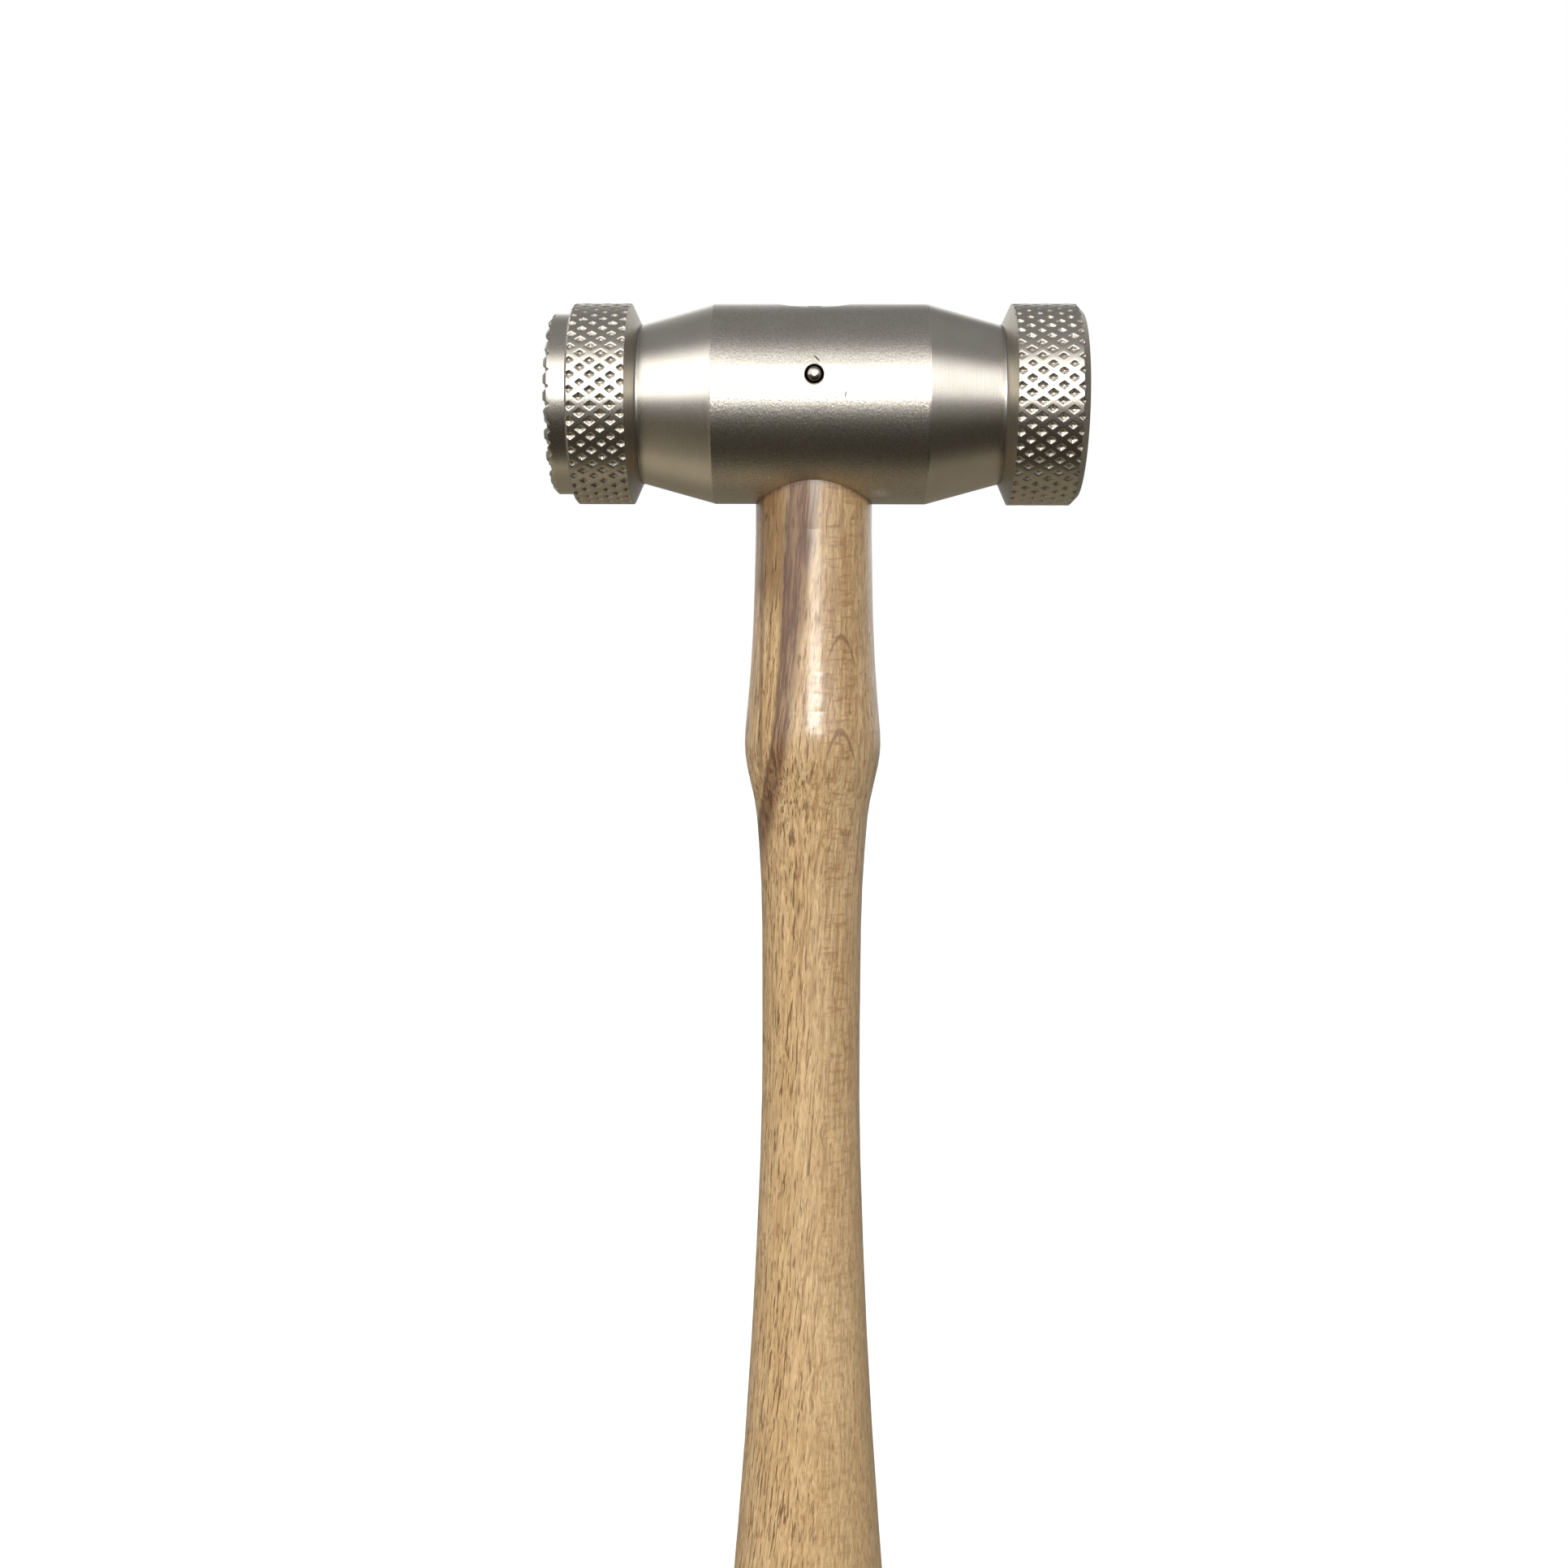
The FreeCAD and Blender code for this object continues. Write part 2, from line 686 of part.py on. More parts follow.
def write_parts(pieces):
    """Checks each sub-part's shape, then writes each one to parts/LABEL.step."""
    for piece in pieces:
        shape = piece.Shape
        if shape.isNull() or not shape.isValid() or len(shape.Solids) != 1:
            raise RuntimeError(f"{piece.Label} is not one valid solid")
    os.makedirs("parts", exist_ok=True)
    for piece in pieces:
        piece.Shape.exportStep(os.path.join("parts", f"{piece.Label}.step"))


def main():
    document = FreeCAD.newDocument(DOCUMENT_NAME)
    make_sheet(document)
    pieces = [
        make_head_barrel(document),
        make_handle(document),
        make_eye_wedge(document),
        make_cross_pin(document),
        make_washer(document, "texture_face_washer", -1),
        make_washer(document, "plain_face_washer", 1),
        make_texture_face(document),
        make_plain_face(document),
    ]
    document.recompute()
    check_document(document)
    write_parts(pieces)


main()
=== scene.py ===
import json
import math
import bmesh
import bpy
import numpy as np
from mathutils import Matrix, Vector

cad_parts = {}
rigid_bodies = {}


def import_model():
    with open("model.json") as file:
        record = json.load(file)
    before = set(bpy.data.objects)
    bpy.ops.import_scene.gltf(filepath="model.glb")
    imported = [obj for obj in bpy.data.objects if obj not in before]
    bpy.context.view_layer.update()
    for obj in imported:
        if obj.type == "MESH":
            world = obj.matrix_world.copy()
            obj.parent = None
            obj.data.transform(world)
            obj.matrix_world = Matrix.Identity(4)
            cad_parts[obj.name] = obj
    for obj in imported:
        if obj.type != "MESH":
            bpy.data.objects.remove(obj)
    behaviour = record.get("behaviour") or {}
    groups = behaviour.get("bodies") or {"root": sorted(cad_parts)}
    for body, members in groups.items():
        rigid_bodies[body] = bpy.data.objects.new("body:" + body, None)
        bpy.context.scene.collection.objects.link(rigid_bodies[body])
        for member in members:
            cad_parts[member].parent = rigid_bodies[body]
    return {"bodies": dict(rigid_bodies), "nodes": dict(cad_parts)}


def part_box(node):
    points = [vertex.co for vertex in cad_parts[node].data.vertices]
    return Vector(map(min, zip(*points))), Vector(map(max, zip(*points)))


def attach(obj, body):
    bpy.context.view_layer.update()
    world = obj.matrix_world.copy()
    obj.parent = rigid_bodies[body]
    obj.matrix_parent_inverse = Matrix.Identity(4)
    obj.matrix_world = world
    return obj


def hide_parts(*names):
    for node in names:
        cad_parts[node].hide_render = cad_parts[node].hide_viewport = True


# Looks for a jeweller's texturing hammer. Lengths in this script are millimetres in the packed
# part's own frame; MM turns them into Blender's metres. The head lies along X and the handle
# along Z, with the texture face at -X and the plain face at +X.

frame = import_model()
MM = 0.001


def clear_startup_objects():
    """Removes whatever Blender starts with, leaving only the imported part."""
    kept = list(frame["nodes"].values()) + list(frame["bodies"].values())
    for spare in [item for item in bpy.data.objects if item not in kept]:
        bpy.data.objects.remove(spare)


clear_startup_objects()
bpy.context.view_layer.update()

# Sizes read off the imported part.
TEXTURE_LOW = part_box("texture_face")[0] / MM
PLAIN_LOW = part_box("plain_face")[0] / MM
PLAIN_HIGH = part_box("plain_face")[1] / MM
TEXTURE_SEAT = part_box("texture_face_washer")[0].x / MM
PLAIN_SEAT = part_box("plain_face_washer")[1].x / MM
AXIS_HEIGHT = (PLAIN_LOW.z + PLAIN_HIGH.z) / 2
CAP_RADIUS = (PLAIN_HIGH.z - PLAIN_LOW.z) / 2
STUD_LENGTH = PLAIN_SEAT - PLAIN_LOW.x
TEXTURE_REACH = TEXTURE_SEAT - TEXTURE_LOW.x
PLAIN_REACH = PLAIN_HIGH.x - PLAIN_SEAT
NECK_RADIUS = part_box("plain_face_washer")[1].y / MM
BARREL_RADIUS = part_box("head_barrel")[1].y / MM

# Both faces: the chamfer behind the knurled band, the band, and how finely outlines are divided.
BACK_CHAMFER = 1.2
BAND_LENGTH = 7.2
BAND_CHAMFER = 0.3
PLAIN_EDGE = 0.9
EDGE_ROUND = 0.04
OUTLINE_STEP = 0.075
COLUMNS_A_PIT = 20

# The toothed rim of the texture face, whose foot is sunk into the end of the knurled band.
RIM_RADIUS = 11.25
RIM_CHAMFER = 0.5
RIM_COLUMNS = 192
FOOT_DEPTH = 0.5
FOOT_OVERLAP = 1.0
WORN_EDGE = 0.06
TOOTH_HEIGHT = 0.8
TOOTH_PITCH = 2.1
GROOVE_MOUTH = 1.25
GROOVE_FLOOR = 0.15
SIDE_GROOVES = 5
FACE_TURN = math.radians(-10)

# The knurl: rings of diamond pits, each uneven in depth, size and place as rolled pits are.
PITS_ROUND = 42
PIT_STEP = 1.25
PIT_START = 0.35
PIT_HALF_LENGTH = 0.7
PIT_HALF_WIDTH = 0.52
PIT_DEPTH = 0.4
PIT_FLOOR = 0.7
LIP_SOFTNESS = 0.07
TORN_METAL = 0.04
TORN_FROM = 0.3
PIT_DEPTH_SPREAD = (0.85, 1.05)
PIT_SIZE_SPREAD = (0.87, 1.1)
PIT_DRIFT = 0.06
SEED = 7

# The threaded studs, with a relief groove next to the face.
STUD_RADIUS = 5.0
STUD_CHAMFER = 0.8
THREAD_PITCH = 1.5
THREAD_DEPTH = 0.62
THREAD_CREST = 0.16
THREAD_FLANK = 0.72
THREAD_STEP = 0.06
STUD_COLUMNS = 96
RELIEF_START = 0.6
RELIEF_END = 0.3
RELIEF_DEPTH = 0.5
STUD_ROOT = 0.3

# The cross pin, its height above the head's axis, and the straight middle of the barrel.
PIN_HEIGHT = 2.3
PIN_RADIUS = 1.15
BARREL_CENTRE = 0.6
BARREL_HALF_LENGTH = 13.2

# Small marks on the barrel, placed from the head's centre. Each nick has its middle, its lean to
# the right of upright in degrees, and half its length.
RESIDUE_SPOT = (8.3, -4.7, -11.5)
NICKS = (
    ((0.3, 4.2), -45.0, 0.6),
    ((3.8, -0.15), 12.0, 0.45),
)
NICK_WIDTH = 0.1


# ---------------------------------------------------------------- meshes

def add_object(name, vertices, faces):
    """A new mesh object from vertices in millimetres."""
    mesh = bpy.data.meshes.new(name)
    mesh.from_pydata([tuple(point) for point in np.asarray(vertices) * MM], [], faces)
    item = bpy.data.objects.new(name, mesh)
    bpy.context.scene.collection.objects.link(item)
    return item


def tidy_normals(item, sharp_degrees):
    """Outward normals, smooth shading, and hard edges where the surface turns sharply."""
    work = bmesh.new()
    work.from_mesh(item.data)
    bmesh.ops.remove_doubles(work, verts=work.verts, dist=1e-7)
    bmesh.ops.recalc_face_normals(work, faces=work.faces)
    for face in work.faces:
        face.smooth = True
    work.to_mesh(item.data)
    work.free()
    item.data.set_sharp_from_angle(angle=math.radians(sharp_degrees))


def divide(points, step, start, end):
    """The outline with extra points every step along the stretch from start to end."""
    out = [points[0]]
    for (along_a, radius_a), (along_b, radius_b) in zip(points, points[1:]):
        inside = start - 1e-6 <= min(along_a, along_b) and max(along_a, along_b) <= end + 1e-6
        length = math.hypot(along_b - along_a, radius_b - radius_a)
        parts = max(1, round(length / step)) if inside else 1
        for part in range(1, parts + 1):
            share = part / parts
            along = along_a + (along_b - along_a) * share
            out.append((along, radius_a + (radius_b - radius_a) * share))
    return out


def turn_about_head(name, points, columns, seat, side, shape=None):
    """A solid turned about the head axis from (along, radius) points, outward from the seat.

    shape(along, turn, radius) gives the finished radius, for knurls and threads.
    """
    along = np.array([point[0] for point in points])
    radius = np.array([point[1] for point in points])
    turn = np.arange(columns) * 2 * math.pi / columns
    along_grid, turn_grid = np.meshgrid(along, turn, indexing="ij")
    radius_grid = np.repeat(radius[:, None], columns, axis=1)
    if shape:
        radius_grid = shape(along_grid, turn_grid, radius_grid)
    ring = np.stack([
        seat + side * along_grid,
        -radius_grid * np.sin(turn_grid),
        AXIS_HEIGHT + radius_grid * np.cos(turn_grid),
    ], axis=-1)
    vertices = ring.reshape(-1, 3)
    faces = []
    for row in range(len(points) - 1):
        for column in range(columns):
            after = (column + 1) % columns
            faces.append((
                row * columns + column,
                row * columns + after,
                (row + 1) * columns + after,
                (row + 1) * columns + column,
            ))
    return add_object(name, vertices, faces)


def knurl_shape(rings, phase):
    """A radius function that rolls rings of staggered diamond pits, with soft lips, into a band."""
    chance = np.random.default_rng(SEED)
    depths = PIT_DEPTH * chance.uniform(*PIT_DEPTH_SPREAD, (rings, PITS_ROUND))
    swells = chance.uniform(*PIT_SIZE_SPREAD, (rings, PITS_ROUND))
    drifts = chance.uniform(-PIT_DRIFT, PIT_DRIFT, (2, rings, PITS_ROUND))
    pit_arc = 2 * math.pi * CAP_RADIUS / PITS_ROUND

    def shape(along, turn, radius):
        lowest = np.full(along.shape, CAP_RADIUS)
        for ring in range(rings):
            places = (turn - phase) * PITS_ROUND / (2 * math.pi) - ring % 2 / 2
            nearest = np.round(places).astype(int)
            index = nearest % PITS_ROUND
            across = (places - nearest) * pit_arc - drifts[0][ring][index]
            centre = BACK_CHAMFER + PIT_START + ring * PIT_STEP + drifts[1][ring][index]
            spread = np.abs(along - centre) / PIT_HALF_LENGTH + np.abs(across) / PIT_HALF_WIDTH
            spread = spread / swells[ring][index]
            sink = LIP_SOFTNESS * np.log1p(np.exp((1 - spread) / LIP_SOFTNESS))
            sink = np.minimum(sink, PIT_FLOOR)
            inside = np.clip(sink / TORN_FROM, 0.0, 1.0)
            torn = chance.uniform(0.0, TORN_METAL, along.shape) * inside
            lowest = np.minimum(lowest, CAP_RADIUS - depths[ring][index] * sink - torn)
        return np.minimum(radius, lowest)

    return shape


def thread_shape(along, turn, radius):
    """A radius function that cuts a V-shaped thread with a narrow flat crest and root."""
    phase = (along / THREAD_PITCH + turn / (2 * math.pi)) % 1.0
    flank = np.abs(phase - 0.5) * 2
    cut = np.clip((flank - THREAD_CREST) / THREAD_FLANK, 0.0, 1.0)
    return np.minimum(radius, STUD_RADIUS - THREAD_DEPTH * cut)


def make_stud(name, seat, side):
    """The threaded stud behind a face."""
    points = [
        (-STUD_LENGTH, 0.0),
        (-STUD_LENGTH, STUD_RADIUS - STUD_CHAMFER),
        (STUD_CHAMFER - STUD_LENGTH, STUD_RADIUS),
        (-RELIEF_START, STUD_RADIUS),
        (-RELIEF_END, STUD_RADIUS - RELIEF_DEPTH),
        (STUD_ROOT, STUD_RADIUS - RELIEF_DEPTH),
        (STUD_ROOT, 0.0),
    ]
    points = divide(points, THREAD_STEP, 1e-3 - STUD_LENGTH, -RELIEF_END)
    item = turn_about_head(name, points, STUD_COLUMNS, seat, side, thread_shape)
    tidy_normals(item, 45)
    return item


def make_texture_cap():
    """The knurled band of the texture face, from its seat to the foot of its rim."""
    band_end = BACK_CHAMFER + BAND_LENGTH
    points = [
        (0.0, 0.0),
        (0.0, NECK_RADIUS - 2 * EDGE_ROUND),
        (EDGE_ROUND, NECK_RADIUS + EDGE_ROUND),
        (BACK_CHAMFER, CAP_RADIUS),
        (band_end - BAND_CHAMFER, CAP_RADIUS),
        (band_end - EDGE_ROUND, CAP_RADIUS - BAND_CHAMFER + 0.03),
        (band_end, CAP_RADIUS - BAND_CHAMFER - 0.05),
        (band_end, RIM_RADIUS - FOOT_OVERLAP),
        (band_end - FOOT_DEPTH, RIM_RADIUS - FOOT_OVERLAP),
        (band_end - FOOT_DEPTH, 0.0),
    ]
    points = divide(points, OUTLINE_STEP, EDGE_ROUND, band_end - 0.01)
    shape = knurl_shape(1 + round((BAND_LENGTH - PIT_START) / PIT_STEP), FACE_TURN)
    item = turn_about_head("texture_cap", points, PITS_ROUND * COLUMNS_A_PIT, TEXTURE_SEAT, -1, shape)
    tidy_normals(item, 42)
    return item


def make_plain_cap():
    """The knurled band of the plain face and its flat striking end."""
    edge = PLAIN_REACH - PLAIN_EDGE
    points = [
        (0.0, 0.0),
        (0.0, NECK_RADIUS - 2 * EDGE_ROUND),
        (EDGE_ROUND, NECK_RADIUS + EDGE_ROUND),
        (BACK_CHAMFER, CAP_RADIUS),
        (edge, CAP_RADIUS),
        (PLAIN_REACH - 0.1, CAP_RADIUS - PLAIN_EDGE + 0.06),
        (PLAIN_REACH, CAP_RADIUS - PLAIN_EDGE - 0.04),
    ]
    points = divide(points, OUTLINE_STEP, EDGE_ROUND, PLAIN_REACH - 0.1)
    points += [(PLAIN_REACH, radius) for radius in (10.5, 8.0, 5.0, 2.0, 0.0)]
    shape = knurl_shape(1 + round((edge - BACK_CHAMFER - PIT_START) / PIT_STEP), 0.0)
    item = turn_about_head("plain_cap", points, PITS_ROUND * COLUMNS_A_PIT, PLAIN_SEAT, 1, shape)
    tidy_normals(item, 42)
    return item


def groove_cutter(name, upright):
    """Every groove that runs one way across the teeth, as one object of tapered bars."""
    roots = TEXTURE_REACH - TOOTH_HEIGHT
    rise = 0.5
    slope = (GROOVE_MOUTH - GROOVE_FLOOR) / 2 / TOOTH_HEIGHT
    section = [
        (roots, -GROOVE_FLOOR / 2),
        (roots, GROOVE_FLOOR / 2),
        (TEXTURE_REACH + rise, GROOVE_MOUTH / 2 + slope * rise),
        (TEXTURE_REACH + rise, -GROOVE_MOUTH / 2 - slope * rise),
    ]
    vertices = []
    faces = []
    for groove in range(-SIDE_GROOVES, SIDE_GROOVES):
        base = len(vertices)
        for end in (-CAP_RADIUS, CAP_RADIUS):
            for along, offset in section:
                across = (groove + 0.5) * TOOTH_PITCH + offset
                y, up = (across, end) if upright else (end, across)
                vertices.append((
                    TEXTURE_SEAT - along,
                    y * math.cos(FACE_TURN) - up * math.sin(FACE_TURN),
                    AXIS_HEIGHT + up * math.cos(FACE_TURN) + y * math.sin(FACE_TURN),
                ))
        faces += [(base, base + 1, base + 2, base + 3), (base + 7, base + 6, base + 5, base + 4)]
        for corner in range(4):
            after = (corner + 1) % 4
            faces.append((base + corner, base + after, base + 4 + after, base + 4 + corner))
    item = add_object(name, vertices, faces)
    tidy_normals(item, 30)
    return item


def apply_modifiers(item):
    """Bakes an object's modifiers into its mesh."""
    graph = bpy.context.evaluated_depsgraph_get()
    mesh = bpy.data.meshes.new_from_object(item.evaluated_get(graph))
    item.modifiers.clear()
    item.data = mesh


def make_teeth():
    """The smooth rim of the texture face, its end cut into square flat-topped teeth."""
    band_end = BACK_CHAMFER + BAND_LENGTH
    below_teeth = TEXTURE_REACH - TOOTH_HEIGHT - 0.1
    points = [
        (band_end - FOOT_DEPTH, 0.0),
        (band_end - FOOT_DEPTH, RIM_RADIUS),
        (below_teeth, RIM_RADIUS),
        (TEXTURE_REACH - RIM_CHAMFER, RIM_RADIUS),
        (TEXTURE_REACH, RIM_RADIUS - RIM_CHAMFER),
        (TEXTURE_REACH, 0.0),
    ]
    item = turn_about_head("texture_teeth", points, RIM_COLUMNS, TEXTURE_SEAT, -1)
    tidy_normals(item, 30)
    for upright in (True, False):
        cutter = groove_cutter("groove_cutter", upright)
        carve = item.modifiers.new("grooves", "BOOLEAN")
        carve.operation = "DIFFERENCE"
        carve.solver = "EXACT"
        carve.object = cutter
        apply_modifiers(item)
        bpy.data.objects.remove(cutter)
    bevel = item.modifiers.new("worn_edges", "BEVEL")
    bevel.width = WORN_EDGE * MM
    bevel.segments = 2
    bevel.limit_method = "ANGLE"
    bevel.angle_limit = math.radians(32)
    apply_modifiers(item)
    tidy_normals(item, 40)
    even = item.modifiers.new("even_shading", "WEIGHTED_NORMAL")
    even.keep_sharp = True
    apply_modifiers(item)
    return item


# ---------------------------------------------------------------- materials

class Graph:
    """A material or world node tree, with short calls for the nodes this script uses."""

    def __init__(self, owner):
        owner.use_nodes = True
        self.tree = owner.node_tree
        self.tree.nodes.clear()

    def add(self, kind, inputs=None, **settings):
        """A node with its settings, and inputs given as values or as other nodes' sockets."""
        item = self.tree.nodes.new(kind)
        for name, value in settings.items():
            setattr(item, name, value)
        for name, value in (inputs or {}).items():
            self.feed(item.inputs[name], value)
        return item

    def feed(self, socket, value):
        """Links a socket, or sets its default if the value is plain."""
        if isinstance(value, bpy.types.NodeSocket):
            self.tree.links.new(value, socket)
        else:
            socket.default_value = value

    def math(self, operation, first, second=0.0):
        """One arithmetic step on numbers."""
        return self.add("ShaderNodeMath", {0: first, 1: second}, operation=operation).outputs[0]

    def total(self, *terms):
        """Sum of several sockets or numbers."""
        result = terms[0]
        for term in terms[1:]:
            result = self.math("ADD", result, term)
        return result

    def times(self, *factors):
        """Product of several sockets or numbers."""
        result = factors[0]
        for factor in factors[1:]:
            result = self.math("MULTIPLY", result, factor)
        return result

    def minus(self, first, second):
        """The first number less the second."""
        return self.math("SUBTRACT", first, second)

    def most(self, *values):
        """The largest of several numbers."""
        result = values[0]
        for value in values[1:]:
            result = self.math("MAXIMUM", result, value)
        return result

    def away(self, value, middle):
        """How far a number is from a middle, on either side."""
        return self.math("ABSOLUTE", self.minus(value, middle))

    def length(self, across, along):
        """Length of a line from its two sides at a right angle."""
        return self.math("SQRT", self.total(self.times(across, across), self.times(along, along)))

    def span(self, value, low, high, start=0.0, end=1.0):
        """Smoothly takes value from low..high to start..end and holds it outside."""
        item = self.add("ShaderNodeMapRange", {
            "Value": value,
            "From Min": low,
            "From Max": high,
            "To Min": start,
            "To Max": end,
        }, interpolation_type="SMOOTHSTEP")
        return item.outputs[0]

    def window(self, value, rise, full, fade, end):
        """A soft-edged range: 0 below rise, 1 from full to fade, 0 beyond end."""
        return self.times(self.span(value, rise, full), self.span(value, fade, end, 1.0, 0.0))

    def mix(self, share, first, second):
        """Blends two colours."""
        item = self.add("ShaderNodeMix", {"Factor": share}, data_type="RGBA")
        self.feed(item.inputs[6], first)
        self.feed(item.inputs[7], second)
        return item.outputs[2]

    def between(self, share, first, second):
        """Blends two numbers."""
        return self.add("ShaderNodeMix", {0: share, 2: first, 3: second}).outputs[0]

    def vector(self, x, y, z):
        """A vector from three numbers."""
        return self.add("ShaderNodeCombineXYZ", {0: x, 1: y, 2: z}).outputs[0]

    def noise(self, vector, scale, detail, roughness):
        """Soft noise from 0 to 1, centred on 0.5."""
        item = self.add("ShaderNodeTexNoise", {
            "Vector": vector,
            "Scale": scale,
            "Detail": detail,
            "Roughness": roughness,
        })
        return item.outputs[0]

    def position(self):
        """Position in the part's own frame in millimetres, which rides with the piece."""
        place = self.add("ShaderNodeTexCoord").outputs["Object"]
        scaled = self.add("ShaderNodeVectorMath", {0: place, "Scale": 1 / MM}, operation="SCALE")
        parts = self.add("ShaderNodeSeparateXYZ", {0: scaled.outputs[0]})
        return parts.outputs[0], parts.outputs[1], parts.outputs[2]

    def bump(self, height, depth):
        """Normals for a height from 0 to 1 that is depth millimetres deep."""
        item = self.add("ShaderNodeBump", {"Height": height, "Strength": 1.0, "Distance": depth * MM})
        return item.outputs[0]


def colour(red, green, blue):
    """A linear colour from 0 to 255 display values."""
    def linear(value):
        share = value / 255
        return share / 12.92 if share <= 0.04045 else ((share + 0.055) / 1.055) ** 2.4
    return (linear(red), linear(green), linear(blue), 1.0)


# Nickel, from its pale tint to its darker one, and the darker places on it, some of them painted shade
# in the pin gap, the knurl pits and the grooves between the teeth.
NICKEL = (colour(205, 198, 186), colour(224, 219, 209))
BAND_NICKEL = (colour(199, 193, 180), colour(216, 210, 199))
RIM_NICKEL = (colour(202, 196, 183), colour(222, 217, 206))
TURNED_NICKEL = (colour(150, 144, 131), colour(188, 182, 169))
BLASTED_GRAIN = colour(120, 112, 98)
SPECK = colour(100, 92, 80)
NICK_AND_GAP_SHADE = colour(52, 45, 36)
RESIDUE = colour(240, 238, 232)
PIT_SHADE_AND_DIRT = colour(112, 104, 90)
GROOVE_SHADE = colour(105, 98, 86)

# The pin's polished steel, and the dark ring that its edge reflects, painted into its colour.
PIN_STEEL = (colour(150, 143, 132), colour(190, 184, 174))
PIN_EDGE_REFLECTION = colour(48, 42, 36)

# Beech, and what darkens it, with painted contact shade along its top edge.
BEECH = (colour(230, 194, 141), colour(242, 209, 159))
BEECH_FIBRE = colour(170, 129, 82)
BEECH_FINE = colour(136, 96, 58)
BEECH_SHADE = colour(128, 92, 54)
BEECH_COLUMN = colour(148, 102, 56)
BEECH_RUNG = colour(146, 100, 54)
BEECH_STRIPE = colour(100, 62, 38)
BEECH_STREAK = colour(98, 62, 34)
BEECH_RAY = colour(128, 86, 48)
BEECH_ARCH = colour(124, 82, 46)
BEECH_SEAM = colour(84, 56, 36)
BEECH_EDGE_SHADE = colour(92, 66, 46)
TENON_END = colour(104, 96, 82)


def new_material(name):
    """A material and the graph of its nodes."""
    material = bpy.data.materials.new(name)
    return material, Graph(material)


def finish_material(graph, base, rough, normal, metallic, more=None):
    """The surface node at the end of a material."""
    inputs = {"Base Color": base, "Roughness": rough, "Metallic": metallic}
    if normal:
        inputs["Normal"] = normal
    inputs.update(more or {})
    surface = graph.add("ShaderNodeBsdfPrincipled", inputs)
    graph.add("ShaderNodeOutputMaterial", {"Surface": surface.outputs[0]})


def around_head(graph):
    """Position about the head: x along its axis, y, height above the axis, distance from it."""
    x, y, z = graph.position()
    up = graph.minus(z, AXIS_HEIGHT)
    return x, y, up, graph.length(y, up)


def turned_lines(graph, along, y, up, distance, fine):
    """Fine lines left by turning: quick to change along the axis and slow to change around it."""
    slow = 2.2
    unit_y = graph.math("DIVIDE", y, distance)
    unit_up = graph.math("DIVIDE", up, distance)
    place = graph.vector(graph.times(along, fine), graph.times(unit_y, slow), graph.times(unit_up, slow))
    return graph.noise(place, 1.0, 3.0, 0.6)


def from_pin_axis(graph, x, up):
    """Distance from the cross pin's axis, seen along Y."""
    return graph.length(x, graph.minus(up, PIN_HEIGHT))


def nick(graph, x, up, middle, lean, half_length):
    """A short dark nick in the barrel's skin, seen along Y."""
    cosine = math.cos(math.radians(lean))
    sine = math.sin(math.radians(lean))
    right = graph.minus(x, middle[0])
    rise = graph.minus(up, middle[1])
    along = graph.total(
        graph.times(right, sine / half_length),
        graph.times(rise, cosine / half_length),
    )
    beside = graph.total(
        graph.times(right, cosine / NICK_WIDTH),
        graph.times(rise, -sine / NICK_WIDTH),
    )
    reach = graph.total(graph.times(along, along), graph.times(beside, beside))
    return graph.span(reach, 0.4, 1.2, 1.0, 0.0)


def make_nickel(name):
    """Satin nickel of the head: blasted in the middle, finely turned on the two tapers."""
    material, graph = new_material(name)
    x, y, up, distance = around_head(graph)
    place = graph.vector(x, y, up)
    from_middle = graph.away(x, BARREL_CENTRE)
    middle = graph.span(from_middle, BARREL_HALF_LENGTH, BARREL_HALF_LENGTH + 0.25, 1.0, 0.0)
    grain = graph.noise(place, 3.0, 4.0, 0.75)
    lines = turned_lines(graph, x, y, up, distance, 7.0)
    clouds = graph.noise(place, 0.25, 3.0, 0.6)
    base = graph.mix(clouds, *NICKEL)

    # The blasted grain of the middle, and specks where the skin is worn.
    salt = graph.span(graph.noise(place, 6.5, 2.0, 0.6), 0.38, 0.62, 0.34, 0.0)
    base = graph.mix(graph.times(salt, middle), base, BLASTED_GRAIN)
    worn = graph.span(graph.noise(place, 0.35, 2.0, 0.5), 0.45, 0.65, 0.2, 1.0)
    specks = graph.span(graph.noise(place, 1.7, 4.0, 0.75), 0.66, 0.72)
    specks = graph.times(specks, worn, graph.span(middle, 0.0, 1.0, 0.3, 1.0))
    base = graph.mix(graph.times(specks, 0.6), base, SPECK)

    # Painted shade in the gap round the pin, and two dark nicks near it.
    pin_gap_shade = graph.span(from_pin_axis(graph, x, up), PIN_RADIUS, PIN_RADIUS + 0.15, 1.0, 0.0)
    nicks_and_gap_shade = graph.most(pin_gap_shade, *(nick(graph, x, up, *mark) for mark in NICKS))
    base = graph.mix(graph.times(nicks_and_gap_shade, 0.9), base, NICK_AND_GAP_SHADE)

    # A dull pale smudge of polish low on the barrel.
    to_spot = graph.add("ShaderNodeVectorMath", {0: place, 1: RESIDUE_SPOT}, operation="DISTANCE")
    ragged = graph.total(to_spot.outputs["Value"], graph.times(grain, 3.4))
    residue = graph.span(ragged, 2.1, 3.3, 0.5, 0.0)
    base = graph.mix(residue, base, RESIDUE)

    rough = graph.total(
        0.2,
        graph.times(grain, 0.12),
        graph.times(middle, 0.03),
        graph.times(residue, 0.4),
    )
    height = graph.between(middle, graph.times(lines, 0.2), grain)
    normal = graph.bump(height, 0.034)
    finish_material(graph, base, rough, normal, graph.minus(1.0, residue))
    return material


